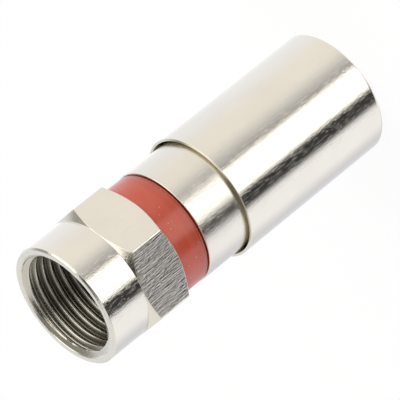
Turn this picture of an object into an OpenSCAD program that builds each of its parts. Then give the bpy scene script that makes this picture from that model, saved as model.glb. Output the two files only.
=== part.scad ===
// F connector of the compression type for coaxial cable, in its open state.
// All lengths are in millimetres. +Z runs along the connector's axis, from the cable end up to
// the thread end, and z = 0 is the rear face of the compression sleeve, on which it stands.

/* [Port thread] */
// Outside diameter of the port's thread, 3/8 inch
thread_d = 9.525; // [9.3:0.005:9.7]
// Pitch of the thread, 32 turns to the inch
thread_pitch = 0.794; // [0.6:0.002:0.9]
// Opening of the chamfer at the thread's mouth beyond the thread, on the radius
mouth_step = 0.15; // [0.05:0.01:0.3]

/* [Coupling nut] */
// Wall of the round collar outside the thread
collar_wall = 0.69; // [0.6:0.01:0.7]
// Length of the round collar
collar_l = 3.85; // [2.5:0.05:4.5]
// Width of the hexagon across its flats
hex_af = 10.96; // [10.94:0.02:12]
// Chamfer of the nut's front edge
front_break = 0.15; // [0.05:0.01:0.25]
// Slope of the turned crown in front of the flats, in degrees
crown_deg = 30; // [20:1:40]
// Slope of the turned crown behind the flats, in degrees
heel_deg = 33; // [20:1:40]
// Thickness of the lip that holds the nut on the post
lip_t = 0.8; // [0.5:0.05:1.2]
// Air between the nut and the body behind it
nut_gap = 0.1; // [0.05:0.05:0.3]
// Air between the nut's lip and the post's neck that it turns on, on the radius
swivel_gap = 0.08; // [0.05:0.01:0.1]
// Air between the nut's lip and the post's flange, along the axis
float_gap = 0.05; // [0.03:0.01:0.1]

/* [Cable] */
// Diameter of the cable's dielectric, which goes into the post
dielectric_d = 4.6; // [4.4:0.05:4.8]
// Diameter of the thickest cable jacket that goes into the rear
jacket_d = 7.6; // [7:0.05:7.9]
// Air round the cable, on the radius
cable_gap = 0.1; // [0.05:0.01:0.2]

/* [Centre post] */
// Distance of the contact face below the nut's front face
contact_depth = 5.4; // [4.5:0.05:5.6]
// Air between the flange and the crests of the thread that it goes in through, on the radius
flange_gap = 0.05; // [0.03:0.01:0.2]
// Thickness of the flange inside the nut
flange_t = 0.95; // [0.6:0.05:1.1]
// Wall of the post's thin tube
post_wall = 0.35; // [0.25:0.01:0.4]
// Height of the step from the tube to the stretch pressed into the body
press_step = 0.45; // [0.3:0.05:0.5]
// Height of the step from the pressed stretch to the neck in the nut
neck_step = 0.25; // [0.15:0.05:0.3]
// Height of the barbs at the post's tail
barb_h = 0.3; // [0.15:0.05:0.35]
// Length of one barb
barb_l = 0.9; // [0.6:0.05:1.2]
// Number of barbs
barbs = 3; // [1:1:4]
// Distance of the post's tail above the grip ferrule's nose
post_recess = 0.5; // [0.3:0.1:2]

/* [Body] */
// Wall of the body's tail round the cable
tail_wall = 0.78; // [0.5:0.02:0.9]
// Length of bare body between the band and the sleeve, which is the sleeve's way
body_show = 4.3; // [3:0.1:5]
// Length of the web that grips the post, behind the band
web_l = 0.85; // [0.5:0.05:2]
// Edge break of the body
body_break = 0.08; // [0.03:0.01:0.15]

/* [Band] */
// Width of the coloured band
band_w = 2.9; // [2:0.1:4]
// Thickness of the coloured band
band_wall = 0.78; // [0.5:0.02:1]
// Depth of the band's surface below the body's
band_inset = 0.08; // [0:0.01:0.1]
// Swelling of the band's front, where it is pressed against the nut's side, on the radius
band_swell = 0.05; // [0:0.01:0.12]
// Rounding of the band's rear edge
band_round = 0.32; // [0.1:0.02:0.45]

/* [Compression sleeve] */
// Wall of the sleeve
sleeve_wall = 0.42; // [0.4:0.01:0.7]
// Length of the sleeve
sleeve_l = 15.7; // [13:0.1:20]
// Air between the body and the sleeve that slides on it, on the radius
slide_gap = 0.03; // [0.02:0.01:0.05]
// Width of the sleeve's flat front rim
rim_w = 0.16; // [0.1:0.01:0.2]
// Depth of the flared lead-in behind the rim
lead_in_l = 0.45; // [0.2:0.05:1]
// Edge break of the sleeve's front rim
rim_break = 0.06; // [0.03:0.01:0.1]
// Rounding of the sleeve's rear edge
heel_round = 0.3; // [0.1:0.02:0.4]
// Thickness of the sleeve's turned-in rear end
sleeve_end_t = 0.8; // [0.5:0.05:1.2]
// Step from the grip ferrule's bore out to the hole in the sleeve's rear end
entry_step = 0.3; // [0.1:0.05:0.4]

/* [Grip ferrule] */
// Wall of the ferrule's nose
nose_wall = 0.4; // [0.25:0.01:0.5]
// Length of nose inside the body's tail
nose_lead = 1.0; // [0.5:0.1:2]
// Air between the nose and the body's tail, on the radius
nose_gap = 0.1; // [0.05:0.01:0.15]
// Thickness of the ferrule's foot
foot_t = 1.2; // [0.8:0.05:2]

/* [Seals] */
// Diameter of the section of the seal between the nut and the body
nut_seal_d = 0.85; // [0.6:0.05:1]
// Air round each seal ring
seal_gap = 0.05; // [0.03:0.01:0.08]

/* [Hidden] */
$fn = 96;

// Height of the sharp V of an internal thread, as a share of its pitch
thread_share = 1.0825;
// Small step that carries a cut clear through a face
past = 0.5;

// Radii, from the axis outwards
post_bore_r = dielectric_d / 2 + cable_gap;
post_tube_r = post_bore_r + post_wall;
post_press_r = post_tube_r + press_step;
post_neck_r = post_press_r + neck_step;
thread_minor_r = (thread_d - thread_share * thread_pitch) / 2;
mouth_r = thread_d / 2 + mouth_step;
collar_r = thread_d / 2 + collar_wall;
flange_r = thread_minor_r - flange_gap;
lip_r = post_neck_r + swivel_gap;
nut_seal_bore_r = post_neck_r + nut_seal_d + 2 * seal_gap;
ferrule_bore_r = jacket_d / 2 + cable_gap;
nose_r = ferrule_bore_r + nose_wall;
cavity_r = nose_r + nose_gap;
body_r = cavity_r + tail_wall;
band_r = body_r - band_inset;
band_seat_r = band_r - band_wall;
slide_r = body_r + slide_gap;
sleeve_r = slide_r + sleeve_wall;

// Stations along the axis, from the rear face of the sleeve up
foot_top = sleeve_end_t + foot_t;
cable_seal_d = slide_r - nose_r - 2 * seal_gap;
tail_z = foot_top + cable_seal_d + body_show + 4 * seal_gap;
nose_top = tail_z + nose_lead;
post_tail_z = nose_top + post_recess;
band_z = sleeve_l + body_show;
cavity_top = band_z - web_l;
body_top = band_z + band_w;
nut_z = body_top + nut_gap;
lip_back_z = body_top + nut_seal_d + 2 * seal_gap;
lip_top = lip_back_z + lip_t;
flange_back_z = lip_top + float_gap;
contact_z = flange_back_z + flange_t;
nut_top = contact_z + contact_depth;
hex_top = nut_top - collar_l;

// What the corner at the origin loses when it is rounded; the solid lies towards -X and -Y
module corner_cut(r) {
    translate([-r, -r])
        difference() {
            square(r + past);
            circle(r);
        }
}

// A hexagon of the given width across flats, one corner towards -Y
module hexagon(af, l) {
    rotate([0, 0, 30])
        cylinder(d = af / cos(30), h = l, $fn = 6);
}

// The turned envelope of the hexagon: a cone at each end takes its corners off
module hex_crowns() {
    corner_r = hex_af / 2 / cos(30) + past;
    reach = corner_r - collar_r;
    rotate_extrude()
        polygon([
            [0, nut_z],
            [collar_r, nut_z],
            [corner_r, nut_z + reach * tan(heel_deg)],
            [corner_r, hex_top - reach * tan(crown_deg)],
            [collar_r, hex_top],
            [0, hex_top]
        ]);
}

// The nut's collar, with its broken front edge, which starts inside the hexagon
module collar() {
    rotate_extrude()
        polygon([
            [0, hex_top - past],
            [collar_r, hex_top - past],
            [collar_r, nut_top - front_break],
            [collar_r - front_break, nut_top],
            [0, nut_top]
        ]);
}

// All that is bored out of the nut: mouth, thread, relief for the flange, lip and seal room
module nut_bore() {
    relief_r = thread_d / 2;
    relief_top = contact_z + float_gap;
    rotate_extrude()
        polygon([
            [0, nut_z - past],
            [nut_seal_bore_r, nut_z - past],
            [nut_seal_bore_r, lip_back_z],
            [lip_r, lip_back_z],
            [lip_r, lip_top],
            [relief_r, lip_top],
            [relief_r, relief_top],
            [thread_minor_r, relief_top + relief_r - thread_minor_r],
            [thread_minor_r, nut_top - (mouth_r - thread_minor_r)],
            [mouth_r, nut_top],
            [mouth_r, nut_top + past],
            [0, nut_top + past]
        ]);
}

// Coupling nut: a round collar and a hexagon turned from one bar, bored from both ends
module coupling_nut() {
    color("#cfc9bd")
        difference() {
            union() {
                collar();
                intersection() {
                    translate([0, 0, nut_z])
                        hexagon(hex_af, hex_top - nut_z);
                    hex_crowns();
                }
            }
            nut_bore();
        }
}

// One barb of the post's tail, its sharp edge towards the nut
module barb(z) {
    translate([0, 0, z])
        cylinder(r1 = post_tube_r, r2 = post_tube_r + barb_h, h = barb_l);
}

// Centre post: flange in the nut, neck, pressed stretch and a barbed tube for the cable's braid
module centre_post() {
    color("#d6cfc0")
        difference() {
            union() {
                translate([0, 0, flange_back_z])
                    cylinder(r = flange_r, h = flange_t);
                translate([0, 0, body_top])
                    cylinder(r = post_neck_r, h = flange_back_z - body_top);
                translate([0, 0, cavity_top])
                    cylinder(r = post_press_r, h = body_top - cavity_top);
                translate([0, 0, post_tail_z])
                    cylinder(r = post_tube_r, h = cavity_top - post_tail_z);
                for (i = [0 : barbs - 1])
                    barb(post_tail_z + i * barb_l);
            }
            translate([0, 0, post_tail_z - past])
                cylinder(r = post_bore_r, h = contact_z - post_tail_z + 2 * past);
        }
}

// Connector body: band seat in front, a web pressed on the post, and a thin tail round the cable
module connector_body() {
    mouth_flare = (body_r - cavity_r) / 3;
    color("#cdc8bb")
        rotate_extrude()
            polygon([
                [post_press_r, cavity_top],
                [cavity_r, cavity_top],
                [cavity_r, tail_z + 2 * mouth_flare],
                [cavity_r + mouth_flare, tail_z],
                [body_r - body_break, tail_z],
                [body_r, tail_z + body_break],
                [body_r, band_z - body_break],
                [body_r - body_break, band_z],
                [band_seat_r, band_z],
                [band_seat_r, body_top],
                [post_press_r, body_top]
            ]);
}

// Coloured band: stretched round the body's seat, swollen in front, its rear edge rounded
module colour_band() {
    swell_r = band_r + band_swell;
    color("#bd4531")
        rotate_extrude()
            difference() {
                polygon([
                    [band_seat_r, band_z],
                    [band_r, band_z],
                    [band_r, band_z + band_w / 3],
                    [swell_r, body_top - band_swell],
                    [swell_r - band_swell, body_top],
                    [band_seat_r, body_top]
                ]);
                translate([band_r, band_z])
                    mirror([0, 1])
                        corner_cut(band_round);
            }
}

// A seal ring of round section, lying on the plane z round a shaft of radius r
module seal_ring(section_d, r, z) {
    rotate_extrude()
        translate([r + seal_gap + section_d / 2, z + section_d / 2])
            circle(d = section_d, $fn = 48);
}

// Seal between the nut and the body, round the post's neck
module nut_seal() {
    color("#2b2b2b")
        seal_ring(nut_seal_d, post_neck_r, body_top + seal_gap);
}

// Compression sleeve: a thin tube with a flared front mouth and a turned-in rear end
module compression_sleeve() {
    entry_r = ferrule_bore_r + entry_step;
    color("#d2ccc0")
        rotate_extrude()
            difference() {
                polygon([
                    [entry_r, 0],
                    [sleeve_r, 0],
                    [sleeve_r, sleeve_l - rim_break],
                    [sleeve_r - rim_break, sleeve_l],
                    [sleeve_r - rim_break - rim_w, sleeve_l],
                    [slide_r, sleeve_l - lead_in_l],
                    [slide_r, sleeve_end_t],
                    [entry_r, sleeve_end_t]
                ]);
                translate([sleeve_r, 0])
                    mirror([0, 1])
                        corner_cut(heel_round);
            }
}

// Grip ferrule: a foot pressed into the sleeve and a nose that the body's tail slides over
module grip_ferrule() {
    tip = nose_wall / 2;
    color("#e8e6df")
        rotate_extrude()
            polygon([
                [ferrule_bore_r, sleeve_end_t],
                [slide_r, sleeve_end_t],
                [slide_r, foot_top],
                [nose_r, foot_top],
                [nose_r, nose_top - 2 * tip],
                [nose_r - tip, nose_top],
                [ferrule_bore_r, nose_top]
            ]);
}

// Seal at the cable end, round the ferrule's nose, which the body's tail closes on
module cable_seal() {
    color("#2b2b2b")
        seal_ring(cable_seal_d, nose_r, foot_top + seal_gap);
}

coupling_nut();
centre_post();
connector_body();
colour_band();
nut_seal();
compression_sleeve();
grip_ferrule();
cable_seal();
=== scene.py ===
"""Looks of a compression coaxial connector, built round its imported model.

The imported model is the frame: it gives the place of every piece. Lengths below are in
millimetres and angles in degrees; meshes are written in metres. The axis of the part is Z,
the sleeve stands on the floor and the nut is on top.
"""

import logging
import math
from dataclasses import dataclass, field, replace
from enum import Enum

import bpy
import numpy as np
from mathutils import Matrix, Vector


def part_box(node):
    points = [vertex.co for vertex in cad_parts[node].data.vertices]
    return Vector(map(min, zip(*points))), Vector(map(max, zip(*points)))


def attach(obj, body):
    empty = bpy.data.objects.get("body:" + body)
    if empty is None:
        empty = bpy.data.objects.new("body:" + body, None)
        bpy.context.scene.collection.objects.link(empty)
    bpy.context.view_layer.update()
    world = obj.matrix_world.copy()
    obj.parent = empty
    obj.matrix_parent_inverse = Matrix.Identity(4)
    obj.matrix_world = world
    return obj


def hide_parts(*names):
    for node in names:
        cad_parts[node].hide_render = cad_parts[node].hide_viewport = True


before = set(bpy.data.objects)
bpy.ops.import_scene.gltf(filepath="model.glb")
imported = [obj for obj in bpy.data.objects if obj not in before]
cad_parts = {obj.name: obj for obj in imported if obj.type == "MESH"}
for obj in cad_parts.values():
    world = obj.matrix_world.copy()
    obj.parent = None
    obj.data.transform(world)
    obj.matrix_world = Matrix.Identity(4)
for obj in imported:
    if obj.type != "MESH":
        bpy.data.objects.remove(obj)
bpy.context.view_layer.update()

MM = 0.001
WELD = 1e-8
FILLET_SHARE = 0.42
HOLD_SHARE = 0.3
log = logging.getLogger("connector")

Colour = tuple[float, float, float]


# ---------------------------------------------------------------- sizes from the frame

@dataclass(frozen=True)
class Span:
    """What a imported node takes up: its outer radius and its two heights, in millimetres."""

    radius: float
    low: float
    high: float

    @classmethod
    def of(cls, node: str) -> "Span":
        """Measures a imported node.

        Args:
            node: the node's name in the record.

        Returns:
            Its outer radius along X, lowest and highest height.
        """
        low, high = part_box(node)
        return cls((high.x - low.x) / 2 / MM, low.z / MM, high.z / MM)


# ---------------------------------------------------------------- surfaces

@dataclass
class Patch:
    """A grid of points, rows along an outline and columns round the axis."""

    points: np.ndarray
    marks: dict[str, np.ndarray] = field(default_factory=dict)
    loop: bool = False


def smooth(value: np.ndarray, start: float, end: float) -> np.ndarray:
    """0 up to start, 1 from end on, and 3 t^2 - 2 t^3 between."""
    t = np.clip((value - start) / (end - start), 0, 1)
    return t * t * (3 - 2 * t)


def outline(corners: list[tuple], closed: bool = True, steps: int = 7,
            hold: float = 0.04) -> np.ndarray:
    """Rounds the corners of an outline for every column at once.

    A corner P between unit vectors a (back) and b (on), at the angle phi, becomes an arc of
    radius f that starts f / tan(phi / 2) before P. With e0 and e1 the unit vectors from its
    centre to its two ends and w the angle between them, its points are
    centre + f (sin((1 - t) w) e0 + sin(t w) e1) / sin w. One point on each side of the arc
    holds the straight stretch, so that its shading stays straight.

    Args:
        corners: (radius, height, rounding) of each corner; radius and height may be arrays
            with one value per column.
        closed: whether the last corner is joined to the first.
        steps: stretches in each arc.
        hold: distance from an arc to the point that holds the straight.

    Returns:
        Array (rows, columns, 2) of radius and height.
    """
    width = max(np.size(c[0]) for c in corners)
    p = np.stack([np.stack([np.broadcast_to(np.asarray(c[i], float), width)
                            for i in (0, 1)], -1) for c in corners])
    fillet = np.array([c[2] for c in corners], float)[:, None] * np.ones(width)
    back, on = np.roll(p, 1, 0) - p, np.roll(p, -1, 0) - p
    back_l, on_l = np.linalg.norm(back, axis=2), np.linalg.norm(on, axis=2)
    a, b = back / back_l[..., None], on / on_l[..., None]
    phi = np.arccos(np.clip((a * b).sum(2), -1, 1))
    run = fillet / np.tan(phi / 2)
    run_max = FILLET_SHARE * np.minimum(back_l, on_l)
    fillet = fillet * np.minimum(1, run_max / np.maximum(run, 1e-12))
    run = np.minimum(run, run_max)
    mid = a + b
    reach = (fillet / np.sin(phi / 2))[..., None]
    centre = p + mid / np.linalg.norm(mid, axis=2)[..., None] * reach
    rows = []
    for i in range(len(corners)):
        end = not closed and i in (0, len(corners) - 1)
        if corners[i][2] <= 0 or end:
            rows.append(p[i])
            continue
        w = (math.pi - phi[i])[:, None]
        e0 = (p[i] + a[i] * run[i][:, None] - centre[i]) / fillet[i][:, None]
        e1 = (p[i] + b[i] * run[i][:, None] - centre[i]) / fillet[i][:, None]
        holds = [run[i] + np.minimum(hold, HOLD_SHARE * (side[i] / 2 - run[i]))
                 for side in (back_l, on_l)]
        rows.append(p[i] + a[i] * holds[0][:, None])
        for t in np.linspace(0, 1, steps + 1):
            rows.append(centre[i] + fillet[i][:, None]
                        * (np.sin((1 - t) * w) * e0 + np.sin(t * w) * e1) / np.sin(w))
        rows.append(p[i] + b[i] * holds[1][:, None])
    return np.stack(rows)


def turned(rows: np.ndarray, angles: np.ndarray) -> np.ndarray:
    """Carries an outline round the axis: (r, z) at the angle t is (r cos t, r sin t, z).

    Args:
        rows: array (rows, columns or 1, 2) of radius and height, in millimetres.
        angles: the angle of each column, in radians.

    Returns:
        Array (rows, columns, 3), in metres.
    """
    r = np.broadcast_to(rows[..., 0], (len(rows), len(angles)))
    z = np.broadcast_to(rows[..., 1], (len(rows), len(angles)))
    return np.stack([r * np.cos(angles), r * np.sin(angles), z], -1) * MM


def even_angles(count: int) -> np.ndarray:
    """Angles of a full turn in equal steps, in radians, the last one equal to the first."""
    return np.linspace(0, 2 * math.pi, count + 1)


def make_piece(name: str, patches: list[Patch], crease: float = 38) -> bpy.types.Object:
    """Joins patches into one closed mesh whose faces point outwards.

    Points closer than WELD become one, quads that lose a corner become triangles, and the
    signed volume, the sum of a . (b x c) / 6 over the triangles, says which way faces turn.

    Args:
        name: the piece's name.
        patches: the grids that make it up; their edges meet point on point.
        crease: angle between faces, in degrees, above which an edge stays sharp.

    Returns:
        The object, at the origin.
    """
    names = sorted({mark for patch in patches for mark in patch.marks})
    points, faces, marks, start = [], [], [], 0
    for patch in patches:
        rows, cols = patch.points.shape[:2]
        index = start + np.arange(rows * cols).reshape(rows, cols)
        if patch.loop:
            index = np.vstack([index, index[:1]])
        quads = np.stack([index[:-1, :-1], index[:-1, 1:], index[1:, 1:], index[1:, :-1]], -1)
        faces.append(quads.reshape(-1, 4))
        points.append(patch.points.reshape(-1, 3))
        marks.append(np.array([np.broadcast_to(patch.marks.get(mark, 0.0), (rows, cols)).ravel()
                               for mark in names]).reshape(len(names), rows * cols))
        start += rows * cols
    points, faces, marks = np.concatenate(points), np.concatenate(faces), np.hstack(marks)
    key = np.floor(points / WELD + 0.317).astype(np.int64)
    _, first, place = np.unique(key, axis=0, return_index=True, return_inverse=True)
    points, marks, faces = points[first], marks[:, first], place.ravel()[faces]
    same = faces == np.roll(faces, -1, 1)
    quads = faces[same.sum(1) == 0]
    short = faces[same.sum(1) == 1]
    lost = same[same.sum(1) == 1]
    thirds = np.array([[1, 2, 3], [0, 2, 3], [0, 1, 3], [0, 1, 2]])
    tris = np.take_along_axis(short, thirds[lost.argmax(1)], 1)
    tris = tris[(tris[:, 0] != tris[:, 2])]
    quads = quads[(quads[:, 0] != quads[:, 2]) & (quads[:, 1] != quads[:, 3])]
    halves = np.concatenate([tris, quads[:, :3], quads[:, [0, 2, 3]]])
    a, b, c = (points[halves[:, i]] for i in range(3))
    if np.einsum("ij,ij->", a, np.cross(b, c)) < 0:
        tris, quads = tris[:, ::-1], quads[:, ::-1]
    mesh = bpy.data.meshes.new(name)
    mesh.from_pydata(points.tolist(), [], quads.tolist() + tris.tolist())
    mesh.update()
    for mark, values in zip(names, marks):
        mesh.attributes.new(mark, "FLOAT", "POINT").data.foreach_set(
            "value", values.astype(np.float32))
    mesh.shade_smooth()
    mesh.set_sharp_from_angle(angle=math.radians(crease))
    obj = bpy.data.objects.new(name, mesh)
    bpy.context.scene.collection.objects.link(obj)
    return obj


def lathe(name: str, corners: list[tuple], columns: int = 288,
          **how: int | float) -> bpy.types.Object:
    """Turns a closed outline with rounded corners into a piece.

    Args:
        name: the piece's name.
        corners: (radius, height, rounding) of each corner.
        columns: stretches round the axis.
        how: what outline() takes.

    Returns:
        The object.
    """
    return make_piece(name, [Patch(turned(outline(corners, **how), even_angles(columns)),
                                   loop=True)])


def ring(name: str, centre_r: float, centre_z: float, section_r: float) -> bpy.types.Object:
    """A torus: (R + s cos v, Z + s sin v) carried round the axis.

    Args:
        name: the piece's name.
        centre_r: radius R of the ring's centre line.
        centre_z: height Z of the ring's centre line.
        section_r: radius s of its section.

    Returns:
        The object.
    """
    v = np.linspace(0, 2 * math.pi, 33)[:-1]
    rows = np.stack([centre_r + section_r * np.cos(v), centre_z + section_r * np.sin(v)], -1)
    return make_piece(name, [Patch(turned(rows[:, None], even_angles(160)), loop=True)])


# ---------------------------------------------------------------- node trees

class Value:
    """A number in a node tree; arithmetic on it adds Math nodes."""

    def __init__(self, graph: "Graph", socket: bpy.types.NodeSocket) -> None:
        """Holds an output socket of a graph."""
        self.graph, self.socket = graph, socket

    def maths(self, operation: str, *others: "Value | float") -> "Value":
        """Adds a Math node whose first input is this value."""
        inputs = dict(enumerate((self, *others)))
        return self.graph.node("ShaderNodeMath", {"operation": operation}, inputs)

    def flipped(self, operation: str, other: float) -> "Value":
        """Adds a Math node whose second input is this value."""
        return self.graph.node("ShaderNodeMath", {"operation": operation}, {0: other, 1: self})

    def __add__(self, other: "Value | float") -> "Value":
        """This value plus another."""
        return self.maths("ADD", other)

    def __radd__(self, other: float) -> "Value":
        """A number plus this value."""
        return self.maths("ADD", other)

    def __sub__(self, other: "Value | float") -> "Value":
        """This value less another."""
        return self.maths("SUBTRACT", other)

    def __rsub__(self, other: float) -> "Value":
        """A number less this value."""
        return self.flipped("SUBTRACT", other)

    def __mul__(self, other: "Value | float") -> "Value":
        """This value times another."""
        return self.maths("MULTIPLY", other)

    def __rmul__(self, other: float) -> "Value":
        """A number times this value."""
        return self.maths("MULTIPLY", other)

    def __abs__(self) -> "Value":
        """This value without its sign."""
        return self.maths("ABSOLUTE")

    def ramp(self, start: float, end: float) -> "Value":
        """A smooth step.

        Args:
            start: the value up to which the step is 0.
            end: the value from which it is 1; it may lie below start.

        Returns:
            The step, 3 t^2 - 2 t^3 between the two.
        """
        low, high, to = (start, end, (0, 1)) if start < end else (end, start, (1, 0))
        return self.graph.node("ShaderNodeMapRange", {"interpolation_type": "SMOOTHSTEP"},
                               {"Value": self, "From Min": low, "From Max": high,
                                "To Min": to[0], "To Max": to[1]})


class Graph:
    """The node tree of one material or world."""

    def __init__(self, owner: bpy.types.Material | bpy.types.World) -> None:
        """Clears the node tree of a material or world."""
        owner.use_nodes = True
        self.tree = owner.node_tree
        self.tree.nodes.clear()

    def node(self, kind: str, settings: dict | None = None, inputs: dict | None = None,
             out: int | str = 0) -> Value:
        """Adds a node.

        Args:
            kind: the node's type.
            settings: its properties, set first.
            inputs: values or links of its sockets, by name or number.
            out: the output that is wanted.

        Returns:
            That output.
        """
        made = self.tree.nodes.new(kind)
        for key, value in (settings or {}).items():
            setattr(made, key, value)
        for key, value in (inputs or {}).items():
            socket = made.inputs[key]
            if isinstance(value, Value):
                self.tree.links.new(value.socket, socket)
            elif socket.type == "RGBA" and len(value) == 3:
                socket.default_value = (*value, 1)
            else:
                socket.default_value = value
        return Value(self, made.outputs[out] if made.outputs else None)

    def mix(self, share: Value, low: Value | Colour, high: Value | Colour) -> Value:
        """Colour low where share is 0 and high where it is 1."""
        return self.node("ShaderNodeMix", {"data_type": "RGBA"},
                         {0: share, 6: low, 7: high}, 2)

    def split(self, vector: Value) -> tuple[Value, Value, Value]:
        """Takes a vector apart.

        Args:
            vector: the vector.

        Returns:
            Its three numbers.
        """
        parts = self.tree.nodes.new("ShaderNodeSeparateXYZ")
        self.tree.links.new(vector.socket, parts.inputs[0])
        return tuple(Value(self, o) for o in parts.outputs)

    def place(self, scale: Colour, turn: Colour = (0, 0, 0), shift: Colour = (0, 0, 0)) -> Value:
        """Object coordinates, scaled, turned and moved.

        Args:
            scale: features per millimetre along each axis.
            turn: turn about each axis, in degrees.
            shift: move along each axis, in features.

        Returns:
            The vector.
        """
        at = self.node("ShaderNodeTexCoord", out="Object")
        return self.node("ShaderNodeMapping", None,
                         {"Vector": at, "Scale": tuple(s / MM for s in scale),
                          "Rotation": tuple(map(math.radians, turn)), "Location": shift})

    def mark(self, name: str) -> Value:
        """What a piece's own attribute says at each point, 0 where the piece has none."""
        return self.node("ShaderNodeAttribute", {"attribute_name": name}, out="Fac")

    def noise(self, at: Value, detail: float = 2, roughness: float = 0.5) -> Value:
        """Smooth noise from 0 to 1 about 0.5, one feature per unit."""
        return self.node("ShaderNodeTexNoise", None,
                         {"Vector": at, "Scale": 1, "Detail": detail, "Roughness": roughness})

    def specks(self, at: Value, size: float) -> Value:
        """1 within size of the scattered points of a unit cell pattern, and 0 elsewhere."""
        far = self.node("ShaderNodeTexVoronoi", None, {"Vector": at, "Scale": 1}, "Distance")
        return far.ramp(size, size * 0.4)

    def bump(self, height: Value) -> Value:
        """A normal bent by a relief in millimetres."""
        return self.node("ShaderNodeBump", None,
                         {"Strength": 1.0, "Distance": MM, "Height": height})

    def surface(self, shader: Value) -> None:
        """Links a shader to the output of a material."""
        self.node("ShaderNodeOutputMaterial", None, {"Surface": shader})


# ---------------------------------------------------------------- finishes

@dataclass(frozen=True)
class Plating:
    """Bright plating over turned brass: grain, handling scratches, pits, and duller plating with
    painted shade in recesses.
    """

    name: str
    tint: Colour
    roughness: float = 0.05
    grain: float = 0.09
    grain_height: float = 0.007
    stretch: float = 1.5
    wave_height: float = 0.0
    line_height: float = 0.0014
    pit_height: float = 0.005
    stripe_height: float = 0.0
    # dark tint for painted shade in recesses, laid with duller plating
    dull_shade_tint: Colour | None = None

    def height(self, g: Graph) -> Value:
        """Relief of the plated surface, in millimetres.

        Args:
            g: the node tree.

        Returns:
            The height at each point.
        """
        per = 1 / self.grain
        relief = g.noise(g.place((per, per, per / self.stretch)), 2) * self.grain_height
        for turn, shift in ((4, -3, 0), (3, 8, 1)), ((-9, 6, 0), (7, 1, 5)):
            lines = g.noise(g.place((12, 12, 1.2), turn, shift), 0).ramp(0.64, 0.72)
            relief = relief - lines * self.line_height
        pits = g.specks(g.place((2.4, 2.4, 2.0), shift=(2, 5, 9)), 0.2)
        relief = relief - pits * self.pit_height
        if self.wave_height:
            relief = relief + g.noise(g.place((2.6, 2.6, 1.1)), 1) * self.wave_height
        if self.stripe_height:
            long_lines = g.noise(g.place((9, 9, 0.5)), 2)
            dashes = g.noise(g.place((8, 8, 2.6), shift=(4, 4, 4)), 1)
            across = g.noise(g.place((1.6, 1.6, 9), shift=(6, 2, 3)), 1)
            dots = g.specks(g.place((2.4, 2.4, 2.1)), 0.2)
            stripes = long_lines + dashes * 0.6 + across * 1.1 - dots * 0.5
            relief = relief + stripes * g.mark("flat") * self.stripe_height
        return relief

    def material(self) -> bpy.types.Material:
        """Makes the material.

        Returns:
            The material, with its shader linked.
        """
        made = bpy.data.materials.new(self.name)
        g = Graph(made)
        cloud = g.noise(g.place((0.35, 0.35, 0.22)), 2)
        colour = g.mix(cloud.ramp(0.3, 0.7), tuple(c * 0.97 for c in self.tint), self.tint)
        rough = cloud * 0.03 + (self.roughness - 0.015)
        if self.dull_shade_tint:
            # painted shade: this mark mixes the colour towards a dark tint, and also roughens the
            # plating
            dull = g.mark("dull")
            colour = g.mix(dull, colour, self.dull_shade_tint)
            rough = rough + dull * 0.26
        g.surface(g.node("ShaderNodeBsdfPrincipled", None, {
            "Base Color": colour, "Metallic": 1.0, "Roughness": rough,
            "Normal": g.bump(self.height(g))}))
        return made


@dataclass(frozen=True)
class Rubber:
    """Soft satin rubber: fine lines round the ring, dust specks and painted shade along the rear
    edge.
    """

    name: str
    tint: Colour
    bloom: Colour
    roughness: float = 0.3
    line_height: float = 0.006
    wave_height: float = 0.03
    rear: float | None = None

    def material(self) -> bpy.types.Material:
        """Makes the material.

        Returns:
            The material, with its shader linked.
        """
        made = bpy.data.materials.new(self.name)
        g = Graph(made)
        lines = g.noise(g.place((0.22, 0.22, 8)), 3)
        patchy = g.noise(g.place((0.5, 0.5, 0.9)), 3)
        dust = g.specks(g.place((1.7, 1.7, 1.7), shift=(20, 10, 30)), 0.09)
        colour = g.mix(patchy.ramp(0.4, 0.75) * 0.18 + lines * 0.12, self.tint, self.bloom)
        if self.rear is not None:
            # painted shade: a darker rear third and a dark line 0.3 mm from the rear edge
            above = g.split(g.place((1, 1, 1)))[2] - self.rear
            shade = above.ramp(1.3, 0.7) * 0.16 + abs(above - 0.3).ramp(0.12, 0.03) * 0.4
            colour = g.mix(shade, colour, tuple(c * 0.35 for c in self.tint))
        colour = g.mix(dust * 0.6, colour, (0.9, 0.78, 0.7))
        height = lines * self.line_height + dust * 0.01 + patchy * self.wave_height
        g.surface(g.node("ShaderNodeBsdfPrincipled", None, {
            "Base Color": colour, "Roughness": patchy * 0.12 + (self.roughness - 0.06),
            "Specular IOR Level": 0.6, "Normal": g.bump(height)}))
        return made


@dataclass(frozen=True)
class Acetal:
    """Moulded white plastic with a faint skin texture."""

    name: str
    tint: Colour
    roughness: float = 0.35

    def material(self) -> bpy.types.Material:
        """Makes the material.

        Returns:
            The material, with its shader linked.
        """
        made = bpy.data.materials.new(self.name)
        g = Graph(made)
        skin = g.noise(g.place((5, 5, 5)), 3)
        colour = g.mix(skin * 0.5, self.tint, tuple(c * 0.92 for c in self.tint))
        g.surface(g.node("ShaderNodeBsdfPrincipled", None, {
            "Base Color": colour, "Roughness": skin * 0.1 + (self.roughness - 0.05),
            "Subsurface Weight": 0.1, "Subsurface Radius": (0.001, 0.001, 0.001),
            "Normal": g.bump(skin * 0.004)}))
        return made


NICKEL_TINT = (0.69, 0.65, 0.575)
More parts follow.
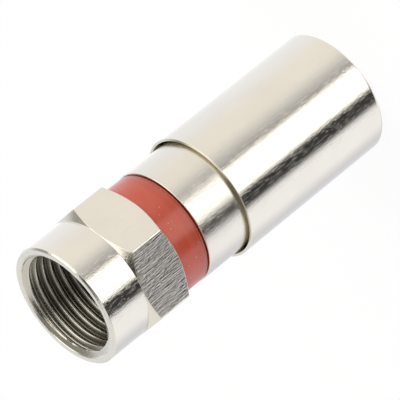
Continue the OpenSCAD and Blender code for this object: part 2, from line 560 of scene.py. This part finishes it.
# dark tint painted into the nut's bore and inner recesses as shade
DULL_SHADE_TINT = (0.165, 0.152, 0.12)
NUT_NICKEL = Plating("nickel_on_nut", NICKEL_TINT, 0.07, stripe_height=0.014, dull_shade_tint=DULL_SHADE_TINT)
BODY_NICKEL = Plating("nickel_on_body", NICKEL_TINT, 0.19, grain_height=0.013)
SLEEVE_NICKEL = Plating("nickel_on_sleeve", NICKEL_TINT, 0.05)
TIN = Plating("tin_plating", (0.66, 0.63, 0.57), roughness=0.14)
RED_RUBBER = Rubber("satin_red_rubber", (0.54, 0.068, 0.028), (0.60, 0.16, 0.11), roughness=0.24)
BLACK_RUBBER = Rubber("black_rubber", (0.018, 0.018, 0.019), (0.04, 0.04, 0.042), roughness=0.5)
WHITE_ACETAL = Acetal("moulded_acetal", (0.78, 0.765, 0.71))


class Slot(Enum):
    """The record's material slots."""

    NICKEL = "nickel_plate"
    TIN = "tin_plate"
    RED = "red_rubber"
    SEAL = "seal_rubber"
    WHITE = "white_acetal"


def fit(obj: bpy.types.Object, node: str, body: str,
        finish: Plating | Rubber | Acetal) -> None:
    """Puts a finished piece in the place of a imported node.

    Args:
        obj: the piece.
        node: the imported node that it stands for.
        body: the body that it moves with.
        finish: the finish itself.
    """
    known = bpy.data.materials.get(finish.name)
    obj.data.materials.append(known or finish.material())
    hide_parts(node)
    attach(obj, body)
    log.info("%s: %d faces, rides on %s", obj.name, len(obj.data.polygons), body)


# ---------------------------------------------------------------- the nut

@dataclass
class CouplingNut:
    """The turned nut: threaded collar, hexagon with turned crowns, lip and seal room."""

    span: Span = field(default_factory=lambda: Span.of("coupling_nut"))
    flats: float = 10.96
    corner_round: float = 0.2
    collar_r: float = 5.4525
    collar_l: float = 3.85
    front_break: float = 0.15
    crown_deg: float = 30
    heel_deg: float = 33
    relief_r: float = 4.7625
    minor_r: float = 4.3328
    mouth_r: float = 4.9
    mouth_slope: float = 2.6
    pitch: float = 0.794
    relief_z: float = 25.7
    lip_top: float = 24.65
    lip_back: float = 23.85
    lip_r: float = 3.53
    seal_bore_r: float = 4.4
    mouth_bevel: float = 0.06
    thread_start: float = 0.44
    crest_share: float = 0.18
    root_share: float = 0.16
    softness: float = 0.07
    rows_per_turn: int = 18

    def angles(self) -> np.ndarray:
        """Columns of the nut: even steps, with closer ones at the corners of the hexagon."""
        sector = np.linspace(-30, 30, 49)[:-1]
        close = np.array([-29.7, -29.45, -29.2, -28.8, 29.7, 29.45, 29.2, 28.8])
        sector = np.sort(np.concatenate([sector, close]))
        turn = (np.arange(6)[:, None] * 60 + sector).ravel()
        return np.radians(np.append(turn, turn[0] + 360))

    def hexagon(self, angles: np.ndarray) -> np.ndarray:
        """Radius of the hexagon, a / cos t from the middle of a flat, with rounded corners.

        Within the corner's arc the radius is D cos b + sqrt(f^2 - D^2 sin^2 b), where b is
        the angle from the corner and D = (a - f) / cos 30 the distance of the arc's centre.

        Args:
            angles: the columns, in radians.

        Returns:
            The radius of each column.
        """
        a, f = self.flats / 2, self.corner_round
        t = (angles + math.pi / 6) % (math.pi / 3) - math.pi / 6
        b = math.pi / 6 - np.abs(t)
        centre = (a - f) / math.cos(math.pi / 6)
        start = math.pi / 6 - math.atan((a - f) * math.tan(math.pi / 6) / a)
        arc = centre * np.cos(b) + np.sqrt(np.maximum(f**2 - (centre * np.sin(b))**2, 0))
        return np.where(b < start, arc, a / np.cos(t))

    def thread(self, angles: np.ndarray) -> Patch:
        """Thread from the relief to the mouth, its rows running along the helix.

        Row k at the angle t is at the height z0 + pitch (k / n + t / 2 pi), kept between the
        two ends. Its radius goes from the crest to the root and back over each pitch, on
        straight flanks with softened corners, and is nowhere less than the cone at each end.
        The flanks get duller plating and painted shade, darker deeper in the bore; the crests keep
        the plain tint.

        Args:
            angles: the columns, in radians.

        Returns:
            The patch, in metres.
        """
        low, high = self.relief_z, self.span.high - self.mouth_bevel
        n = self.rows_per_turn
        k = np.arange(-n, math.ceil((high - low) / self.pitch * n) + 1)[:, None]
        z = np.clip(low + self.pitch * (k / n + (angles - angles[0]) / (2 * math.pi)), low, high)
        wave = np.abs((k / n - self.thread_start) % 1 - 0.5) * 2
        depth = (wave - self.crest_share) / (1 - self.root_share - self.crest_share)
        depth = (np.sqrt(depth**2 + self.softness)
                 - np.sqrt((1 - depth)**2 + self.softness) + 1) / 2
        r = self.minor_r + (self.relief_r - self.minor_r) * np.clip(depth, 0, 1)
        end = self.mouth_r - self.mouth_bevel
        cones = np.maximum(self.relief_r - (z - low), end - self.mouth_slope * (high - z))
        r = np.maximum(r, cones)
        crest = 1 - smooth(r - self.minor_r, 0.03, 0.09)
        # painted shade: darkens the flanks, more the deeper they lie in the bore, and spares the
        # crests
        dull = (0.3 + 0.7 * smooth(self.span.high - z, 0, 1.7)) * (1 - crest * 0.95)
        points = np.stack([r * np.cos(angles), r * np.sin(angles), z], -1) * MM
        return Patch(points, {"dull": dull})

    def build(self) -> bpy.types.Object:
        """Makes the nut's mesh.

        Returns:
            The object.
        """
        angles = self.angles()
        hexagon = self.hexagon(angles)
        low, high = self.span.low, self.span.high
        shoulder = high - self.collar_l
        proud = hexagon - self.collar_r
        bevel = self.mouth_bevel
        corners = [
            (self.relief_r, self.relief_z, 0),
            (self.relief_r, self.lip_top, 0.05),
            (self.lip_r, self.lip_top, 0.08),
            (self.lip_r, self.lip_back, 0.08),
            (self.seal_bore_r, self.lip_back, 0.05),
            (self.seal_bore_r, low, 0.08),
            (self.collar_r, low, 0.05),
            (hexagon, low + proud * math.tan(math.radians(self.heel_deg)), 0.07),
            (hexagon, shoulder - proud * math.tan(math.radians(self.crown_deg)), 0.07),
            (self.collar_r, shoulder, 0.05),
            (self.collar_r, high - self.front_break, 0.06),
            (self.collar_r - self.front_break, high, 0.06),
            (self.mouth_r, high, 0.05),
            (self.mouth_r - bevel, high - bevel, 0),
        ]
        rows = outline(corners, closed=False)
        r, z = rows[..., 0], rows[..., 1]
        on_flat = (np.abs(r - hexagon) < 1e-4) & (z > low + 0.01) & (z < shoulder - 0.01)
        # painted shade: the inner walls behind the thread get the full dark tint
        shaded_recess = (r < self.relief_r + 0.01) & (z < high - 1)
        shell = Patch(turned(rows, angles), {"flat": on_flat * 1.0, "dull": shaded_recess * 1.0})
        return make_piece("coupling_nut_turned", [shell, self.thread(angles)])

    def dress(self) -> None:
        """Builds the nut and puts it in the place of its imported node."""
        fit(self.build(), "coupling_nut", "nut", NUT_NICKEL)


# ---------------------------------------------------------------- body, post, band and seal

@dataclass
class ConnectorBody:
    """The fixed middle of the connector: body, centre post, coloured band and nut seal."""

    body: Span = field(default_factory=lambda: Span.of("connector_body"))
    post: Span = field(default_factory=lambda: Span.of("centre_post"))
    band: Span = field(default_factory=lambda: Span.of("colour_band"))
    seal: Span = field(default_factory=lambda: Span.of("nut_seal"))
    press_r: float = 3.2
    tube_r: float = 2.75
    bore_r: float = 2.4
    neck_r: float = 3.45
    flange_back: float = 24.7
    cavity_r: float = 4.4
    web: float = 0.85
    breaks: float = 0.08
    seat_r: float = 4.32
    band_inset: float = 0.08
    band_swell: float = 0.05
    band_round: float = 0.32
    barb_h: float = 0.3
    barb_l: float = 0.9
    barbs: int = 3

    def build_body(self) -> bpy.types.Object:
        """The body: band seat in front, a web on the post and a thin tail round the cable."""
        r, tail, seat = self.body.radius, self.body.low, self.band.low
        cavity_top, flare = seat - self.web, (r - self.cavity_r) / 3
        return lathe("connector_body_turned", [
            (self.press_r, cavity_top, 0),
            (self.cavity_r, cavity_top, 0.1),
            (self.cavity_r, tail + 2 * flare, 0.05),
            (self.cavity_r + flare, tail, 0.04),
            (r, tail, 0.06),
            (r, seat, self.breaks),
            (self.seat_r, seat, 0.05),
            (self.seat_r, self.body.high, 0.05),
            (self.press_r, self.body.high, 0),
        ])

    def build_post(self) -> bpy.types.Object:
        """The post: flange in the nut, neck, pressed stretch and a barbed tube."""
        low, high = self.post.low, self.post.high
        web = self.band.low - self.web
        barbs = []
        for i in range(self.barbs):
            top = low + (i + 1) * self.barb_l
            barbs += [(self.tube_r + self.barb_h, top, 0.02), (self.tube_r, top, 0.02)]
        return lathe("centre_post_turned", [
            (self.bore_r, low, 0.05),
            (self.tube_r, low, 0.04),
            *barbs,
            (self.tube_r, web, 0.03),
            (self.press_r, web, 0.04),
            (self.press_r, self.body.high, 0),
            (self.neck_r, self.body.high, 0.02),
            (self.neck_r, self.flange_back, 0.03),
            (self.post.radius, self.flange_back, 0.05),
            (self.post.radius, high, 0.1),
            (self.bore_r, high, 0.1),
        ], steps=5)

    def build_band(self) -> bpy.types.Object:
        """The band: rounded at its rear edge, swollen towards the nut."""
        low, high = self.band.low, self.band.high
        outer = self.body.radius - self.band_inset
        swell = outer + self.band_swell
        return lathe("colour_band_moulded", [
            (self.seat_r, low, 0),
            (outer, low, self.band_round),
            (outer, low + (high - low) / 3, 2.0),
            (swell, high - self.band_swell, 0.3),
            (swell - self.band_swell, high, 0.05),
            (self.seat_r, high, 0),
        ], steps=9)

    def build_seal(self) -> bpy.types.Object:
        """The seal between the nut and the body."""
        s = (self.seal.high - self.seal.low) / 2
        return ring("nut_seal_ring", self.seal.radius - s, self.seal.low + s, s)

    def dress(self) -> None:
        """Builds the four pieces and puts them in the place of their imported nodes."""
        fit(self.build_body(), "connector_body", "body", BODY_NICKEL)
        fit(self.build_post(), "centre_post", "body", TIN)
        fit(self.build_band(), "colour_band", "body",
            replace(RED_RUBBER, rear=self.band.low))
        fit(self.build_seal(), "nut_seal", "body", BLACK_RUBBER)


# ---------------------------------------------------------------- the compression end

@dataclass
class CompressionEnd:
    """The sliding end: sleeve, grip ferrule and cable seal."""

    sleeve: Span = field(default_factory=lambda: Span.of("compression_sleeve"))
    ferrule: Span = field(default_factory=lambda: Span.of("grip_ferrule"))
    seal: Span = field(default_factory=lambda: Span.of("cable_seal"))
    entry_r: float = 4.2
    wall: float = 0.42
    rim_break: float = 0.06
    rim_w: float = 0.16
    lead_in: float = 0.45
    heel_round: float = 0.3
    end_t: float = 0.8
    bore_r: float = 3.9
    nose_wall: float = 0.4
    foot_top: float = 2.0

    def build_sleeve(self) -> bpy.types.Object:
        """The sleeve: a thin tube with a flared front mouth and a turned-in rear end."""
        r, high = self.sleeve.radius, self.sleeve.high
        slide = r - self.wall
        return lathe("compression_sleeve_drawn", [
            (self.entry_r, 0, 0.08),
            (r, 0, self.heel_round),
            (r, high, self.rim_break),
            (r - self.rim_break - self.rim_w, high, 0.04),
            (slide, high - self.lead_in, 0.12),
            (slide, self.end_t, 0.1),
            (self.entry_r, self.end_t, 0.08),
        ])

    def build_ferrule(self) -> bpy.types.Object:
        """The ferrule: a foot pressed into the sleeve and a nose for the body's tail."""
        nose, tip, high = self.bore_r + self.nose_wall, self.nose_wall / 2, self.ferrule.high
        return lathe("grip_ferrule_moulded", [
            (self.bore_r, self.ferrule.low, 0.1),
            (self.ferrule.radius, self.ferrule.low, 0.05),
            (self.ferrule.radius, self.foot_top, 0.05),
            (nose, self.foot_top, 0.05),
            (nose, high - 2 * tip, 0.1),
            (nose - tip, high, 0.06),
            (self.bore_r, high, 0.06),
        ])

    def build_seal(self) -> bpy.types.Object:
        """The seal round the ferrule's nose."""
        s = (self.seal.high - self.seal.low) / 2
        return ring("cable_seal_ring", self.seal.radius - s, self.seal.low + s, s)

    def dress(self) -> None:
        """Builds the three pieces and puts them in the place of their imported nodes."""
        fit(self.build_sleeve(), "compression_sleeve", "sleeve", SLEEVE_NICKEL)
        fit(self.build_ferrule(), "grip_ferrule", "sleeve", WHITE_ACETAL)
        fit(self.build_seal(), "cable_seal", "sleeve", BLACK_RUBBER)


# ---------------------------------------------------------------- studio and camera

@dataclass(frozen=True)
class Card:
    """A card of the studio, by its bearing round the part and its height above it.

    Bearing 0 is the camera's side and grows clockwise seen from above.
    """

    name: str
    colour: Colour
    bearing: float
    half: float
    edge: float
    low: float = -100
    high: float = 100
    rise: float = 8

    def mask(self, bearing: Value, height: Value) -> Value:
        """1 on the card, 0 off it, and a soft edge between.

        Args:
            bearing: bearing of the ray, in degrees.
            height: height of the ray above the horizon, in degrees.

        Returns:
            The card's mask.
        """
        off = abs((bearing - self.bearing).maths("WRAP", 180.0, -180.0))
        mask = off.ramp(self.half + self.edge / 2, self.half - self.edge / 2)
        if self.low > -90:
            mask = mask * height.ramp(self.low - self.rise / 2, self.low + self.rise / 2)
        if self.high < 90:
            mask = mask * height.ramp(self.high + self.rise / 2, self.high - self.rise / 2)
        return mask


@dataclass(frozen=True)
class Studio:
    """A pale floor in a white room, with cards that the plating shows."""

    wall: Colour = (1.17, 1.20, 1.27)
    floor_tint: Colour = (0.9, 0.9, 0.9)
    floor_radius: float = 900
    shadow_share: float = 0.12
    paper_white: float = 1.03
    cards: tuple[Card, ...] = (
        Card("warm_wall", (1.165, 1.14, 1.09), -62, 30, 50),
        Card("warm_flag", (0.44, 0.43, 0.43), 0, 30, 48),
        Card("black_flag", (0.06, 0.06, 0.06), 46, 18.5, 11),
        Card("right_wall", (1.26, 1.28, 1.36), 95, 26, 22),
        Card("right_grey", (0.84, 0.855, 0.93), 153, 30, 44),
        Card("rear_white", (1.4, 1.4, 1.4), -167, 11, 12),
        Card("key_white", (1.9, 1.9, 1.9), 12.2, 23, 3),
        Card("rear_high", (1.03, 1.07, 1.13), 180, 60, 30, 8, 34),
        Card("rear_ceiling", (0.42, 0.415, 0.37), 180, 88, 20, 34, 100, 10),
        Card("left_softbox", (1.8, 1.78, 1.74), -62, 60, 20, 12, 100, 16),
        Card("left_flag", (0.45, 0.45, 0.42), -118, 17, 14, 18, 50, 10),
        Card("camera_flag", (0.12, 0.12, 0.12), 0, 42, 16, 40, 72, 10),
        Card("right_ceiling", (0.32, 0.32, 0.31), 82, 82, 16, 6, 100, 16),
        Card("right_fill", (1.08, 1.08, 1.07), 122, 42, 20, 2, 66, 12),
        Card("top_fill", (1.05, 1.05, 1.04), 64, 26, 12, 46, 66, 10),
        Card("crown_flag", (0.07, 0.07, 0.07), 90, 92, 8, 69, 100, 10),
    )

    def build_room(self) -> None:
        """White for the camera; the cards round the part for everything else."""
        world = bpy.data.worlds.new("studio")
        bpy.context.scene.world = world
        g = Graph(world)
        x, y, z = g.split(g.node("ShaderNodeTexCoord", out="Generated"))
        bearing = (x * -1).maths("ARCTAN2", y * -1) * math.degrees(1)
        height = z.maths("ARCSINE") * math.degrees(1)
        colour = self.wall
        for card in self.cards:
            colour = g.mix(card.mask(bearing, height), colour, card.colour)
        seen = g.node("ShaderNodeLightPath", out="Is Camera Ray")
        colour = g.mix(seen, colour, (1, 1, 1))
        light = g.node("ShaderNodeBackground", None, {"Color": colour, "Strength": 1.0})
        g.node("ShaderNodeOutputWorld", None, {"Surface": light})

    def build_floor(self) -> None:
        """A round floor that keeps a faint shadow and lets the plating see the cards."""
        rows = np.array([[0.0, 0.0], [self.floor_radius, 0.0]])[:, None]
        at = turned(rows, even_angles(64)) - np.array([0, 0, 0.02 * MM])
        mesh = bpy.data.meshes.new("floor")
        rim = np.arange(64)
        mesh.from_pydata([at[0, 0].tolist(), *at[1, :-1].tolist()], [],
                         np.stack([0 * rim, rim + 1, (rim + 1) % 64 + 1], -1).tolist())
        floor = bpy.data.objects.new("floor", mesh)
        bpy.context.scene.collection.objects.link(floor)
        made = bpy.data.materials.new("floor_paper")
        g = Graph(made)
        tooth = g.noise(g.place((0.6, 0.6, 0.6)), 2)
        tint = g.mix(tooth, self.floor_tint, tuple(c * 0.99 for c in self.floor_tint))
        paper = g.node("ShaderNodeBsdfDiffuse", None, {"Color": tint})
        white = g.node("ShaderNodeEmission", None, {"Color": (1, 1, 1), "Strength": self.paper_white})
        camera = g.node("ShaderNodeLightPath", out="Is Camera Ray")
        glossy = g.node("ShaderNodeLightPath", out="Is Glossy Ray")
        shown = g.node("ShaderNodeMixShader", None,
                       {0: camera * (1 - self.shadow_share), 1: paper, 2: white})
        clear = g.node("ShaderNodeBsdfTransparent")
        g.surface(g.node("ShaderNodeMixShader", None, {0: glossy, 1: shown, 2: clear}))
        mesh.materials.append(made)


@dataclass(frozen=True)
class Viewpoint:
    """Where the camera stands, by the point it looks at."""

    aim: Colour = (-0.13, 0.12, 15.72)
    distance: float = 332.27
    elevation: float = 28.33
    roll: float = -128.81
    lens: float = 375.7
    sensor: float = 36

    def build(self) -> None:
        """Makes the camera, in front of the part, above it and rolled."""
        data = bpy.data.cameras.new("camera")
        data.lens, data.sensor_width = self.lens, self.sensor
        data.clip_start, data.clip_end = 0.01, 10
        camera = bpy.data.objects.new("camera", data)
        bpy.context.scene.collection.objects.link(camera)
        lift = math.radians(self.elevation)
        back = Vector((0, -math.cos(lift), math.sin(lift)))
        turn = Matrix.Rotation(math.radians(90 - self.elevation), 4, "X")
        spin = Matrix.Rotation(math.radians(self.roll), 4, "Z")
        place = Matrix.Translation((Vector(self.aim) + back * self.distance) * MM)
        camera.matrix_world = place @ turn @ spin
        bpy.context.scene.camera = camera


def main() -> None:
    """Builds the camera, the studio and every piece."""
    logging.basicConfig(level=logging.INFO, format="%(message)s")
    bpy.context.scene.view_settings.view_transform = "Standard"
    Viewpoint().build()
    studio = Studio()
    studio.build_room()
    studio.build_floor()
    for group in (CouplingNut(), ConnectorBody(), CompressionEnd()):
        group.dress()


if __name__ == "__main__":
    main()
